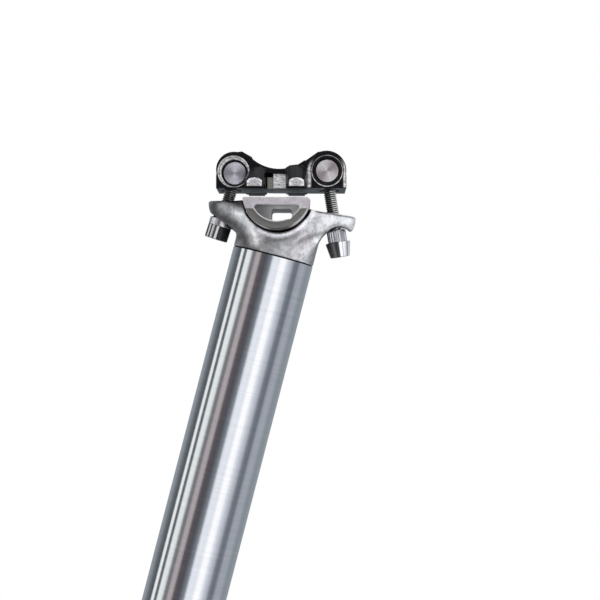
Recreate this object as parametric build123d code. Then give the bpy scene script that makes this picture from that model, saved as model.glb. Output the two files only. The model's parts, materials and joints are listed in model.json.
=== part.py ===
from build123d import *
import math
import os

os.makedirs("parts", exist_ok=True)

# Suspension seatpost: a 31.6 mm upper tube with a two-bolt saddle clamp slides down over a
# 27.2 mm post that is clamped in the bicycle frame. All lengths in millimetres.
# +Z runs up the post axis, +X points to the rear of the bicycle. z = 0 is the minimum
# insertion line of the post: the frame grips the part below it.

# ---------------------------------------------------------------- driving dimensions
# telescope
TRAVEL = 50.0                 # suspension stroke of the upper tube
TUBE_OD = 31.6
TUBE_ID = 28.4
TUBE_MOUTH_ID = 29.0          # widened mouth that houses the lower bushing
TUBE_BOTTOM = 62.0
MOUTH_TOP = 102.0
SEAM_Z = 250.0                # joint line between the tube and the forged head
SEAM_CHAMFER = 0.3
POST_OD = 27.2                # standard seat-tube size, below the insertion line
SLIDE_OD = 27.0               # ground running surface above it
POST_ID = 22.4
POST_BOTTOM = -112.0
POST_TOP = 158.0
RUN_GAP = 0.05                # running clearance on a radius
BOND_GAP = 0.02               # adhesive or thread clearance on a radius
REACH = 80.0                  # cutting tools run clear of anything they cut
INSERT_LINE_DEPTH = 0.15
INSERT_LINE_WIDTH = 0.8
POST_END_CHAMFER = 0.4

# seal collar, wiper, keys and bushings
COLLAR_BOTTOM = 56.0
COLLAR_TOP = 80.0
COLLAR_OD = 38.0
COLLAR_NECK_OD = 34.4
COLLAR_GRIP_TOP = 70.0
COLLAR_GRIPS = 18
COLLAR_GRIP_RADIUS = 1.6
COLLAR_LIP = 1.0
COLLAR_MOUTH_GAP = 0.4         # the collar's lip stays clear of the post
COLLAR_EDGE = 1.0
COLLAR_NECK_FLARE = 0.6
COLLAR_NECK_STRAIGHT = 1.5
COLLAR_FLUTE_START = 2.5
COLLAR_FLUTE_RUNOUT = 4.0
COLLAR_FLUTE_OFFSET = 0.55     # share of the flute radius that its axis stands outside the collar
TUBE_FOOT_GAP = 0.2
WIPER_POCKET_R = 16.4
WIPER_HEIGHT = 4.6
WIPER_LIP = 1.6
WIPER_GAP = 0.5               # the wiper's body stands this far off the post
KEY_COUNT = 3
KEY_WIDTH = 4.0
KEY_BOTTOM = 65.0
KEY_TOP = 79.8
KEY_INNER_R = 12.5
KEY_SIDE_GAP = 0.05
KEY_EDGE = 0.4
KEY_CEILING = 0.1             # room above the keys in the tube's slots
KEYWAY_CUT = 4.0
KEY_END_GAP = 1.5             # how far the keyways run past the keys at either end of travel
LOWER_BUSHING_BOTTOM = 80.0
LOWER_BUSHING_TOP = 101.0
UPPER_BUSHING_BOTTOM = 138.0
UPPER_BUSHING_TOP = 155.0
BUSHING_GROOVE_R = 13.0
BUSHING_SPLIT = 1.2
BUSHING_END_GAP = 0.1
BUSHING_CUT = 6.0
UPPER_SPLIT_SLANT = 30

# top cap, push rod, bumpers and spring
CAP_FLANGE = 3.0
CAP_SPIGOT = 12.0
CAP_EDGE = 0.1                 # the flange is this much smaller than the post on a radius
CAP_NOTCH = 2.4
CAP_NOTCH_DEPTH = 1.0
GUIDE_R = 6.5
GUIDE_FLANGE_R = 8.0
GUIDE_FLANGE = 1.2
GUIDE_INSET = 0.5
ROD_R = 5.0
ROD_BODY_R = 8.0
ROD_BORE_R = 3.0
ROD_BOTTOM = 46.0
ROD_SHOULDER = 140.0
ROD_TOP = 238.0
ROD_EDGE = 0.6
ROD_CROWN_GAP = 2.0           # room above the rod in the head
TOP_OUT_R = 9.5
TOP_OUT_GAP = 0.3
TOP_OUT_EDGE = 1.0
BUMPER_BORE_GAP = 0.1
PLUG_BOTTOM = 228.0
BOTTOM_OUT_R = 12.0
BOTTOM_OUT_GAP = 0.3
BOTTOM_OUT_WAIST = 1.5
BOTTOM_OUT_EDGE = 2.0
FOOT_R = 10.8
FOOT_FLANGE = 4.0
FOOT_SPIGOT_R = 6.7
FOOT_SPIGOT = 6.0
FOOT_SCREW_R = 2.95
FOOT_SCREW_HEAD_R = 5.0
FOOT_SCREW_HEAD = 3.6
FOOT_SCREW_LENGTH = 22.0
FOOT_SCREW_HEX = 5.0
FOOT_SCREW_HEX_FLOOR = 1.0
FOOT_SCREW_ROUND = 1.2
FOOT_BORE_GAP = 0.05
SPRING_LENGTH = 130.0
SPRING_WIRE = 3.4
SPRING_MEAN_R = 8.8
SPRING_PITCH = 9.0
SEAT_FLANGE = 6.0
ADJUSTER_LENGTH = 14.0
ADJUSTER_HEX = 8.0
ADJUSTER_HEX_DEPTH = 7.0
ADJUSTER_THREAD_PITCH = 1.5
THREAD_DEPTH = 0.45
RING_GROOVE_R = 11.8
RING_GROOVE_Z = -110.6
RING_THICKNESS = 1.1
RING_INNER_R = 9.2
RING_GAP_ANGLE = 34.0
RING_GAP = 3.2
RING_EAR_R = 1.9
RING_EAR_HOLE_R = 0.75
RING_EAR_INSET = 0.6
RING_SIDE_GAP = 0.05

# saddle clamp: its own axes are p along the rails and q square to them
HINGE_X = -4.0                # centre of the cradle arc, about which the saddle tilts
HINGE_Z = SEAM_Z + 21.8
RAIL_ANGLE = 14.54            # rails are level with the seat tube at 75.5 degrees
RAIL_R = 3.55                 # groove for a 7 mm rail
RAIL_Y = 22.0
RAIL_Q = 1.1
CRADLE_R = 12.87
SEAT_R = 12.95
RELIEF_R = 13.25              # the seat opens out near the head's side faces
RELIEF_P = 0.15
RELIEF_Q = -0.95
RELIEF_FROM = 11.2
CRADLE_HALF = 27.5
CRADLE_TOP_Q = -0.8
CRADLE_CORNERS = (0.6, 1.5)     # front and rear corner radius
WINDOW_R = 9.8
WINDOW_TOP_Q = -3.6
WINDOW_CORNERS = (1.1, 1.1)
WEB_HALF = 14.0               # solid middle of the cradle, between the two end pockets
RIM_STEP = 0.5
RIM_STEP_Q = -5.2
WINDOW_RIM = 1.0
CRADLE_EDGE = 0.3
CRADLE_SLOT_P = 1.8           # lightening slot through the web
CRADLE_SLOT_Q = -6.9
CRADLE_SLOT = (7.8, REACH, 4.6)
CRADLE_SLOT_CORNER = 1.0

EYE_HALF = 16.9
FRONT_EYE = (-16.3, 10.2, 6.8)    # p, q and radius
REAR_EYE = (18.85, 9.9, 7.5)
NUT_R = 4.5
NUT_HALF = 16.3
NUT_EDGE = 0.3
NUT_DIMPLE = 0.7              # centre mark left by the lathe
EYE_CHAMFER = 0.55
ARCH_P = 0.9
ARCH_Q = 26.0
ARCH_R = 15.5
CLAMP_UNDER_Q = 3.2
CLAMP_EDGE = 0.4
EYE_FOOT_CORNER = 2.4
# raised pad beside the front eye
FRONT_PAD = [(-15.6, 16.8), (-13.3, 17.1), (-9.4, 14.9), (-9.4, 11.0), (-15.6, 11.0)]
LUG_HALF = 27.5
LUG_CENTRES = (-8.35, 7.45)
LUG_WIDTH = 6.1
LUG_ROOT_WIDTH = 8.4
LUG_TIP_TOP = 6.6
LUG_ROOT_TOP = 12.2
LUG_UNDER_Q = 3.0
LUG_SHOULDER = (0.62, 0.3, 1.3)   # share of the half width, drop there and drop at the sides
LUG_EDGE = 0.35
RECESS_P = -0.3
RECESS_HALF_WIDTH = 4.0       # side pocket under the arch, between the lugs
RECESS_TOP_Q = 8.9
RECESS_DEPTH = 5.0
BOSSES = [(1.25, 5.3, 8.7, 1.2), (-2.55, 2.3, 7.4, 2.4)]   # p, width, top q, setback of the pads

# clamp bolts, measured down each bolt axis from its barrel-nut centre
FRONT_NUT = (-21.7, SEAM_Z + 26.3)
REAR_NUT = (12.0, SEAM_Z + 36.0)
FRONT_SPLAY = -3.3
REAR_SPLAY = 23.8
BOLT_R = 2.45
BOLT_HOLE_R = 2.5
BOLT_PITCH = 0.8
BOLT_TIP = 0.6                # the bolt end stands this far past the nut centre
BOLT_HEX = 4.0
BOLT_HEX_DEPTH = 3.2
BOLT_HEAD_EDGE = 0.4
WASHER_BORE_GAP = 0.2
FRONT_HEAD_AT = 20.35
FRONT_HEAD_R = 4.5
FRONT_HEAD = 5.2
REAR_HEAD_AT = 26.8
REAR_HEAD_R = 4.8
REAR_HEAD_END_R = 3.85
REAR_HEAD = 5.8
FRONT_DOME_AT = 16.3          # crown of the front washer's spherical face
FRONT_DOME_R = 8.0
FRONT_WASHER_R = 4.6
REAR_DOME_AT = 21.4
REAR_DOME_R = 7.0
REAR_WASHER_R = 3.7
REAR_WASHER_RIBS = 22
RIB_NOTCH = 0.5
DOME_GAP = 0.3                # room for the washers to rock in their seats
ARM_HOLE_WIDTH = 6.4
ARM_HOLE_LENGTH = 7.6
SPOT_R = 5.3
SPOT_SINK = 1.0

# forged head, (X, height above the seam) outlines and (X, half width) plans
NECK_R = TUBE_OD / 2
NECK_HALF = 15.4
NECK_CORNER = 8.5
NECK_STRAIGHT = 1.5
NECK_FULL = 9.0
FRONT_ARM = [(-6.0, 2.5), (-15.8, 5.2), (-22.0, 7.9), (-27.9, 10.3), (-29.5, 14.2), (-28.5, 24.0),
             (-6.0, 24.0)]
REAR_ARM = [(4.0, 3.0), (15.6, 8.6), (16.4, 12.0), (18.5, 15.3), (21.1, 17.4), (24.9, 17.7),
            (26.5, 16.5), (27.5, 17.6), (27.2, 24.0), (4.0, 24.0)]
REAR_TOP = [(6.0, 21.2), (10.5, 20.4), (24.6, 22.1), (32.0, 22.4), (32.0, 40.0), (6.0, 40.0)]
FRONT_PLAN = [(-2.0, 15.4), (-11.0, 13.6), (-19.0, 8.8), (-29.8, 8.0)]
REAR_PLAN = [(2.0, 15.4), (11.0, 13.4), (19.5, 11.0), (27.8, 9.4)]
ARM_CORNER = 3.5
WAIST_R = 8.0                 # plan radius where the arms run into the neck
FRONT_TOP_Q = -1.0            # in front of the cradle the head is cut off below the rails


# ---------------------------------------------------------------- shared helpers
def save(shape, node):
    shape.label = node
    export_step(shape, f"parts/{node}.step")


def turned(*points):
    """A ring turned about Z from (radius, height) points."""
    face = make_face(Plane.XZ * Polyline(*points, close=True))
    return revolve(face, Axis.Z)


def ring(inner, outer, bottom, top):
    return turned((inner, bottom), (outer, bottom), (outer, top), (inner, top))


def rod(radius, bottom, top):
    return Pos(0, 0, (bottom + top) / 2) * Cylinder(radius, top - bottom)


def hex_hole(flats, bottom, top):
    hexagon = RegularPolygon(flats / 2, 6, major_radius=False)
    return Pos(0, 0, bottom) * extrude(hexagon, top - bottom)


def threaded(radius, bottom, top, pitch, depth):
    """A shaft with one ring groove per thread pitch."""
    points = [(0, bottom), (radius - depth, bottom)]
    count = int((top - bottom) / pitch)
    for i in range(count):
        z = bottom + i * pitch
        points += [(radius, z + 0.35 * pitch), (radius, z + 0.65 * pitch), (radius - depth, z + pitch)]
    points += [(radius - depth, top), (0, top)]
    return turned(*[p for i, p in enumerate(points) if i == 0 or p != points[i - 1]])


def side_plate(outline, half):
    """A plate from (X, Z) outline points, standing symmetric about the middle plane."""
    return extrude(make_face(Plane.XZ * Polyline(*outline, close=True)), half, both=True)


def dome_washer(radius, dome_at, dome_r, bottom):
    """A washer whose upper face is a sphere, bored for the bolt, in a bolt's own axes."""
    blank = rod(radius, -bottom, -dome_at)
    ball = Pos(0, 0, -dome_at - dome_r) * Sphere(dome_r)
    return (blank & ball) - rod(BOLT_HOLE_R + WASHER_BORE_GAP, -bottom - 1, -dome_at + 1)


CLAMP = Pos(HINGE_X, 0, HINGE_Z) * Rot(0, -RAIL_ANGLE, 0)
FRONT_BOLT_AXES = Pos(FRONT_NUT[0], 0, FRONT_NUT[1]) * Rot(0, -FRONT_SPLAY, 0)
REAR_BOLT_AXES = Pos(REAR_NUT[0], 0, REAR_NUT[1]) * Rot(0, -REAR_SPLAY, 0)
TO_CLAMP = CLAMP.inverse()
ALONG_Y = Rot(90, 0, 0)
KEY_ANGLES = [60 + i * 360 / KEY_COUNT for i in range(KEY_COUNT)]


# ---------------------------------------------------------------- inner post and its fittings
def inner_post():
    post = ring(POST_ID / 2, POST_OD / 2, POST_BOTTOM, 0)
    post += ring(POST_ID / 2, SLIDE_OD / 2, 0, POST_TOP)
    post = chamfer(post.edges().filter_by(GeomType.CIRCLE).group_by(Axis.Z)[0], POST_END_CHAMFER)
    post -= ring(SLIDE_OD / 2 - INSERT_LINE_DEPTH, POST_OD, 0, INSERT_LINE_WIDTH)
    post -= ring(BUSHING_GROOVE_R, POST_OD, UPPER_BUSHING_BOTTOM, UPPER_BUSHING_TOP)
    post -= ring(POST_ID / 2 - 1, RING_GROOVE_R, RING_GROOVE_Z,
                 RING_GROOVE_Z + RING_THICKNESS + 2 * RING_SIDE_GAP)
    keyway_bottom = KEY_BOTTOM - TRAVEL - KEY_END_GAP
    keyway_top = KEY_TOP + KEY_END_GAP
    height = keyway_top - keyway_bottom
    width = KEY_WIDTH + 2 * KEY_SIDE_GAP
    slot = Pos(KEY_INNER_R - RUN_GAP + KEYWAY_CUT / 2, 0, keyway_bottom + height / 2)
    slot *= Box(KEYWAY_CUT, width, height)
    slot = fillet(slot.edges().filter_by(Axis.X), width / 2 - RUN_GAP)
    for angle in KEY_ANGLES:
        post -= Rot(0, 0, angle) * slot
    return post


def top_cap():
    flange_top = POST_TOP + CAP_FLANGE
    cap = ring(GUIDE_R + BOND_GAP, SLIDE_OD / 2 - CAP_EDGE, POST_TOP, flange_top)
    cap += ring(GUIDE_R + BOND_GAP, POST_ID / 2 - BOND_GAP, POST_TOP - CAP_SPIGOT, POST_TOP)
    notch = Pos(SLIDE_OD / 2, 0, flange_top) * Box(4, CAP_NOTCH, 2 * CAP_NOTCH_DEPTH)
    for angle in (0, 90, 180, 270):
        cap -= Rot(0, 0, angle) * notch
    return cap


def rod_guide_bushing():
    bottom, top = POST_TOP - CAP_SPIGOT + GUIDE_INSET, POST_TOP + CAP_FLANGE
    sleeve = ring(ROD_R + RUN_GAP, GUIDE_R, bottom, top)
    return sleeve + ring(ROD_R + RUN_GAP, GUIDE_FLANGE_R, top, top + GUIDE_FLANGE)


def upper_bushing():
    sleeve = ring(BUSHING_GROOVE_R + BOND_GAP, TUBE_ID / 2 - RUN_GAP,
                  UPPER_BUSHING_BOTTOM + BUSHING_END_GAP, UPPER_BUSHING_TOP - BUSHING_END_GAP)
    height = UPPER_BUSHING_TOP - UPPER_BUSHING_BOTTOM
    split = Rot(UPPER_SPLIT_SLANT, 0, 0) * Box(BUSHING_CUT, BUSHING_SPLIT, 2 * height)
    return sleeve - Pos(SLIDE_OD / 2, 0, UPPER_BUSHING_BOTTOM + height / 2) * split


def preload_seat():
    top = SPRING_BOTTOM
    seat = rod(FOOT_R, top - SEAT_FLANGE, top) + rod(FOOT_SPIGOT_R, top, top + FOOT_SPIGOT)
    return seat - rod(ROD_BORE_R, top - SEAT_FLANGE, top + FOOT_SPIGOT)


def preload_adjuster():
    top = SPRING_BOTTOM - SEAT_FLANGE
    bottom = top - ADJUSTER_LENGTH
    screw = threaded(POST_ID / 2 - BOND_GAP, bottom, top, ADJUSTER_THREAD_PITCH, THREAD_DEPTH)
    return screw - hex_hole(ADJUSTER_HEX, bottom, bottom + ADJUSTER_HEX_DEPTH)


def retaining_ring():
    bottom = RING_GROOVE_Z + RING_SIDE_GAP
    top = bottom + RING_THICKNESS
    body = ring(RING_INNER_R, RING_GROOVE_R - RING_SIDE_GAP, bottom, top)
    body -= Pos(RING_GROOVE_R, 0, bottom) * Box(2 * RING_GROOVE_R, RING_GAP, 4 * RING_THICKNESS)
    for side in (-1, 1):
        ear = Rot(0, 0, side * RING_GAP_ANGLE / 2) * Pos(RING_INNER_R - RING_EAR_INSET, 0, 0)
        body += ear * rod(RING_EAR_R, bottom, top)
        body -= ear * rod(RING_EAR_HOLE_R, bottom - 1, top + 1)
    return body


def main_spring():
    """Compression spring with its ends ground flat."""
    helix = Helix(SPRING_PITCH, SPRING_LENGTH + SPRING_PITCH, SPRING_MEAN_R)
    section = Plane(origin=helix @ 0, z_dir=helix % 0) * Circle(SPRING_WIRE / 2)
    coil = sweep(section, path=helix)
    coil = Pos(0, 0, SPRING_BOTTOM - SPRING_PITCH / 2) * coil
    return coil & rod(POST_ID / 2, SPRING_BOTTOM, SPRING_BOTTOM + SPRING_LENGTH)


# ---------------------------------------------------------------- upper tube and its fittings
def upper_tube():
    tube = turned(
        (TUBE_MOUTH_ID / 2, TUBE_BOTTOM), (NECK_R, TUBE_BOTTOM), (NECK_R, SEAM_Z - SEAM_CHAMFER),
        (NECK_R - SEAM_CHAMFER, SEAM_Z), (TUBE_ID / 2, SEAM_Z), (TUBE_ID / 2, MOUTH_TOP),
        (TUBE_MOUTH_ID / 2, MOUTH_TOP))
    width = KEY_WIDTH + 2 * KEY_SIDE_GAP
    height = KEY_TOP + KEY_CEILING - TUBE_BOTTOM
    for angle in KEY_ANGLES:
        tube -= Rot(0, 0, angle) * Pos(NECK_R, 0, TUBE_BOTTOM + height / 2) * Box(6, width, height)
    return tube


def seal_collar():
    neck, outer = COLLAR_NECK_OD / 2, COLLAR_OD / 2
    bore = NECK_R + BOND_GAP
    mouth = SLIDE_OD / 2 + COLLAR_MOUTH_GAP
    lip_top = COLLAR_BOTTOM + COLLAR_LIP
    collar = turned(
        (mouth, COLLAR_BOTTOM), (outer - COLLAR_EDGE, COLLAR_BOTTOM), (outer, COLLAR_BOTTOM + COLLAR_EDGE),
        (outer, COLLAR_GRIP_TOP), (neck + COLLAR_NECK_FLARE, COLLAR_TOP - COLLAR_NECK_STRAIGHT),
        (neck, COLLAR_TOP), (bore, COLLAR_TOP),
        (bore, TUBE_BOTTOM), (WIPER_POCKET_R, TUBE_BOTTOM - TUBE_FOOT_GAP), (WIPER_POCKET_R, lip_top),
        (mouth, lip_top))
    flute_bottom, flute_top = COLLAR_BOTTOM + COLLAR_FLUTE_START, COLLAR_GRIP_TOP + COLLAR_FLUTE_RUNOUT
    flute = rod(COLLAR_GRIP_RADIUS, flute_bottom, flute_top)
    flute = Pos(outer + COLLAR_FLUTE_OFFSET * COLLAR_GRIP_RADIUS, 0, 0) * flute
    for i in range(COLLAR_GRIPS):
        collar -= Rot(0, 0, i * 360 / COLLAR_GRIPS) * flute
    return collar


def wiper_seal():
    bottom = COLLAR_BOTTOM + COLLAR_LIP
    top = bottom + WIPER_HEIGHT
    inner = SLIDE_OD / 2 + BOND_GAP
    return turned(
        (inner + WIPER_GAP, bottom), (WIPER_POCKET_R - BOND_GAP, bottom), (WIPER_POCKET_R - BOND_GAP, top),
        (inner + 2 * WIPER_GAP, top), (inner + WIPER_GAP, top - WIPER_LIP),
        (inner, top - WIPER_LIP - WIPER_GAP), (inner, bottom + WIPER_LIP - WIPER_GAP),
        (inner + WIPER_GAP, bottom + WIPER_LIP - 2 * WIPER_GAP))


def lower_bushing():
    inner = SLIDE_OD / 2 + RUN_GAP
    sleeve = ring(inner, TUBE_MOUTH_ID / 2 - BOND_GAP, LOWER_BUSHING_BOTTOM, LOWER_BUSHING_TOP)
    height = LOWER_BUSHING_TOP - LOWER_BUSHING_BOTTOM
    split = Box(BUSHING_CUT, BUSHING_SPLIT, 2 * height)
    return sleeve - Pos(-SLIDE_OD / 2, 0, LOWER_BUSHING_BOTTOM + height / 2) * split


def anti_rotation_keys():
    depth = NECK_R - KEY_INNER_R
    bar = Box(depth, KEY_WIDTH, KEY_TOP - KEY_BOTTOM)
    bar = Pos(KEY_INNER_R + depth / 2, 0, (KEY_BOTTOM + KEY_TOP) / 2) * bar
    key = bar & rod(NECK_R, KEY_BOTTOM, KEY_TOP)
    key = chamfer(key.edges().filter_by(Axis.X), KEY_EDGE)
    return Compound(children=[Rot(0, 0, angle) * key for angle in KEY_ANGLES])


def push_rod():
    return turned(
        (ROD_BORE_R, ROD_BOTTOM), (ROD_BODY_R - ROD_EDGE, ROD_BOTTOM), (ROD_BODY_R, ROD_BOTTOM + ROD_EDGE),
        (ROD_BODY_R, ROD_SHOULDER), (ROD_R, ROD_SHOULDER), (ROD_R, ROD_TOP - ROD_EDGE),
        (ROD_R - ROD_EDGE, ROD_TOP), (ROD_BORE_R, ROD_TOP))


def top_out_bumper():
    bottom, top = ROD_SHOULDER, POST_TOP - CAP_SPIGOT - TOP_OUT_GAP
    bore, rim = ROD_R + BUMPER_BORE_GAP, TOP_OUT_R - TOP_OUT_EDGE
    return turned(
        (bore, bottom), (rim, bottom), (TOP_OUT_R, bottom + TOP_OUT_EDGE), (TOP_OUT_R, top - TOP_OUT_EDGE),
        (rim, top), (bore, top))


def bottom_out_bumper():
    bottom = POST_TOP + CAP_FLANGE + GUIDE_FLANGE + TRAVEL + BOTTOM_OUT_GAP
    waist = (bottom + PLUG_BOTTOM) / 2
    bore, edge = ROD_R + BUMPER_BORE_GAP, BOTTOM_OUT_EDGE
    return turned(
        (bore, bottom), (BOTTOM_OUT_R - edge, bottom), (BOTTOM_OUT_R, bottom + edge),
        (BOTTOM_OUT_R, waist - edge), (BOTTOM_OUT_R - BOTTOM_OUT_WAIST, waist),
        (BOTTOM_OUT_R, waist + edge), (BOTTOM_OUT_R, PLUG_BOTTOM), (bore, PLUG_BOTTOM))


def spring_foot():
    top = ROD_BOTTOM
    foot = rod(FOOT_R, top - FOOT_FLANGE, top)
    foot += rod(FOOT_SPIGOT_R, top - FOOT_FLANGE - FOOT_SPIGOT, top - FOOT_FLANGE)
    return foot - rod(ROD_BORE_R + FOOT_BORE_GAP, top - FOOT_FLANGE - FOOT_SPIGOT, top)


def foot_screw():
    seat = ROD_BOTTOM - FOOT_FLANGE - FOOT_SPIGOT
    screw = rod(FOOT_SCREW_R, seat, seat + FOOT_SCREW_LENGTH)
    head = fillet(rod(FOOT_SCREW_HEAD_R, seat - FOOT_SCREW_HEAD, seat).edges().group_by(Axis.Z)[0],
                  FOOT_SCREW_ROUND)
    screw += head
    return screw - hex_hole(FOOT_SCREW_HEX, seat - FOOT_SCREW_HEAD, seat - FOOT_SCREW_HEX_FLOOR)


# ---------------------------------------------------------------- saddle clamp
def groove_pair():
    """The two 7 mm rail channels, in the clamp's own axes."""
    bar = Rot(0, 90, 0) * Cylinder(RAIL_R, REACH)
    return [Pos(0, side * RAIL_Y, RAIL_Q) * bar for side in (-1, 1)]


def half_moon(radius, top_q, corners):
    """A disc about the hinge centre cut off level at top_q, its front and rear corners rounded."""
    disc = Plane.XZ * Circle(radius)
    below = Plane.XZ * Pos(0, top_q - radius) * Rectangle(4 * radius, 2 * radius)
    moon = disc & below
    moon = fillet(moon.vertices().sort_by(Axis.X)[0], corners[0])
    return fillet(moon.vertices().sort_by(Axis.X)[-1], corners[1])


def end_edges(shape):
    """Edges round the two flat end faces, left and right."""
    faces = shape.faces().sort_by(Axis.Y)
    return faces[0].edges() + faces[-1].edges()


def lower_cradle():
    """Half-moon cradle, pocketed at both ends, with a stepped crescent round each pocket."""
    cradle = extrude(half_moon(CRADLE_R, CRADLE_TOP_Q, CRADLE_CORNERS), CRADLE_HALF, both=True)
    cradle = chamfer(end_edges(cradle), CRADLE_EDGE)
    window = half_moon(WINDOW_R, WINDOW_TOP_Q, WINDOW_CORNERS)
    step = Pos(0, 0, RIM_STEP_Q - CRADLE_R) * Box(4 * CRADLE_R, 2 * RIM_STEP, 2 * CRADLE_R)
    step -= extrude(Plane.XZ * Circle(WINDOW_R + WINDOW_RIM), 2 * RIM_STEP, both=True)
    for side in (-1, 1):
        cradle -= Pos(0, -side * WEB_HALF, 0) * extrude(window, side * (CRADLE_HALF - WEB_HALF))
        cradle -= Pos(0, side * CRADLE_HALF, 0) * step
    slot = Box(*CRADLE_SLOT)
    slot = fillet(slot.edges().filter_by(Axis.Y), CRADLE_SLOT_CORNER)
    cradle -= Pos(CRADLE_SLOT_P, 0, CRADLE_SLOT_Q) * slot
    for bar in groove_pair():
        cradle -= bar
    return CLAMP * cradle


def clamp_outline():
    fp, fq, fr = FRONT_EYE
    rp, rq, rr = REAR_EYE
    arch = Plane.XZ * Pos(ARCH_P, ARCH_Q) * Circle(ARCH_R)
    web = Plane.XZ * make_face(Polyline(
        (fp, CLAMP_UNDER_Q), (fp, fq + fr), (-9.7, 14.6), (10.9, 13.65), (15.5, 16.9), (rp, rq + rr),
        (rp, CLAMP_UNDER_Q), close=True))
    shape = web - arch + Plane.XZ * make_face(Polyline(*FRONT_PAD, close=True))
    for p, q, r in (FRONT_EYE, REAR_EYE):
        shape += Plane.XZ * Pos(p, q) * Circle(r)
        foot = RectangleRounded(2 * r, q - CLAMP_UNDER_Q + EYE_FOOT_CORNER, EYE_FOOT_CORNER)
        shape += Plane.XZ * Pos(p, (q + CLAMP_UNDER_Q - EYE_FOOT_CORNER) / 2) * foot
    below = Plane.XZ * Pos(0, CLAMP_UNDER_Q - REACH / 2) * Rectangle(REACH, REACH)
    return shape - below


def lug(centre, side):
    """A finger that reaches out over a rail, tapering to a small D-shaped end."""
    def section(width, top, y):
        half = width / 2
        share, shoulder_drop, side_drop = LUG_SHOULDER
        shoulder = share * half
        return Plane((centre, y, 0), x_dir=(1, 0, 0), z_dir=(0, -1, 0)) * make_face(Polyline(
            (-half, LUG_UNDER_Q), (half, LUG_UNDER_Q), (half, top - side_drop),
            (shoulder, top - shoulder_drop), (0, top), (-shoulder, top - shoulder_drop),
            (-half, top - side_drop), close=True))
    root = section(LUG_ROOT_WIDTH, LUG_ROOT_TOP, side * (EYE_HALF - 1))
    tip = section(LUG_WIDTH, LUG_TIP_TOP, side * LUG_HALF)
    finger = loft([root, tip], ruled=True)
    return chamfer(finger.faces().sort_by(Axis.Y)[0 if side < 0 else -1].edges(), LUG_EDGE)


def upper_clamp():
    body = extrude(clamp_outline(), EYE_HALF, both=True)
    body = chamfer(end_edges(body), CLAMP_EDGE)
    for side in (-1, 1):
        recess = Pos(RECESS_P, side * EYE_HALF, (RECESS_TOP_Q + CLAMP_UNDER_Q) / 2)
        body -= recess * Box(2 * RECESS_HALF_WIDTH, 2 * RECESS_DEPTH, RECESS_TOP_Q - CLAMP_UNDER_Q)
        for p, width, top, setback in BOSSES:
            reach = EYE_HALF - setback
            boss = Pos(p, side * (reach - RECESS_DEPTH / 2), (top + CLAMP_UNDER_Q) / 2)
            body += boss * Box(width, RECESS_DEPTH, top - CLAMP_UNDER_Q)
        for centre in LUG_CENTRES:
            body += lug(centre, side)
    body -= Pos(0, 0, CLAMP_UNDER_Q - 3) * Box(LUG_CENTRES[1] * 2, 2 * EYE_HALF - 2, 6)
    for bar in groove_pair():
        body -= bar
    for nut, axes in ((FRONT_NUT, FRONT_BOLT_AXES), (REAR_NUT, REAR_BOLT_AXES)):
        centre = TO_CLAMP * axes
        at = Pos(*centre.position)
        body -= at * ALONG_Y * Cylinder(NUT_R + RUN_GAP, 4 * EYE_HALF)
        for side in (-1, 1):
            cone = Cone(NUT_R + RUN_GAP, NUT_R + RUN_GAP + 2 * EYE_CHAMFER, 2 * EYE_CHAMFER)
            body -= at * Pos(0, side * EYE_HALF, 0) * Rot(-side * 90, 0, 0) * cone
        body -= centre * Pos(0, 0, -8) * Box(ARM_HOLE_LENGTH, ARM_HOLE_WIDTH, 16)
    return CLAMP * body


def barrel_nut(axes):
    nut = ALONG_Y * Cylinder(NUT_R, 2 * NUT_HALF)
    nut = chamfer(nut.edges().filter_by(GeomType.CIRCLE), NUT_EDGE)
    for side in (-1, 1):
        nut -= Pos(0, side * NUT_HALF, 0) * Rot(-side * 90, 0, 0) * Cone(0, NUT_DIMPLE, NUT_DIMPLE)
    return axes * (nut - rod(BOLT_HOLE_R, -2 * NUT_R, 2 * NUT_R))


def clamp_bolt(axes, head_at, head_r, head_end_r, head):
    shank = threaded(BOLT_R, -head_at, BOLT_TIP, BOLT_PITCH, THREAD_DEPTH)
    end = -head_at - head
    edge = BOLT_HEAD_EDGE
    cap = turned((0, end), (head_end_r - edge, end), (head_end_r, end + edge), (head_r, -head_at - edge),
                 (head_r - edge, -head_at), (0, -head_at))
    bolt = shank + cap
    return axes * (bolt - hex_hole(BOLT_HEX, end, end + BOLT_HEX_DEPTH))


def front_washer():
    return FRONT_BOLT_AXES * dome_washer(FRONT_WASHER_R, FRONT_DOME_AT, FRONT_DOME_R, FRONT_HEAD_AT)


def rear_washer():
    washer = dome_washer(REAR_WASHER_R, REAR_DOME_AT, REAR_DOME_R, REAR_HEAD_AT)
    length = REAR_HEAD_AT - REAR_DOME_AT
    notch = Rot(0, 0, 45) * Box(RIB_NOTCH, RIB_NOTCH, 0.7 * length)
    notch = Pos(REAR_WASHER_R + 0.05, 0, 0.4 * length - REAR_HEAD_AT) * notch
    for i in range(REAR_WASHER_RIBS):
        washer -= Rot(0, 0, i * 360 / REAR_WASHER_RIBS) * notch
    return REAR_BOLT_AXES * washer


# ---------------------------------------------------------------- forged head
def arm(outline, plan):
    """An arm from its side outline and the half widths it has seen from above."""
    plate = side_plate([(x, SEAM_Z + z) for x, z in outline], 2 * NECK_R)
    around = plan + [(x, -y) for x, y in reversed(plan)]
    face = make_face(Polyline(*around, close=True))
    tip, bends = plan[-1][0], (plan[1][0], plan[2][0])
    face = fillet([v for v in face.vertices() if abs(v.X - tip) < 0.1], ARM_CORNER)
    face = fillet([v for v in face.vertices() if min(abs(v.X - x) for x in bends) < 0.1], WAIST_R)
    return plate & Pos(0, 0, SEAM_Z - 5) * extrude(face, 40)


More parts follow.
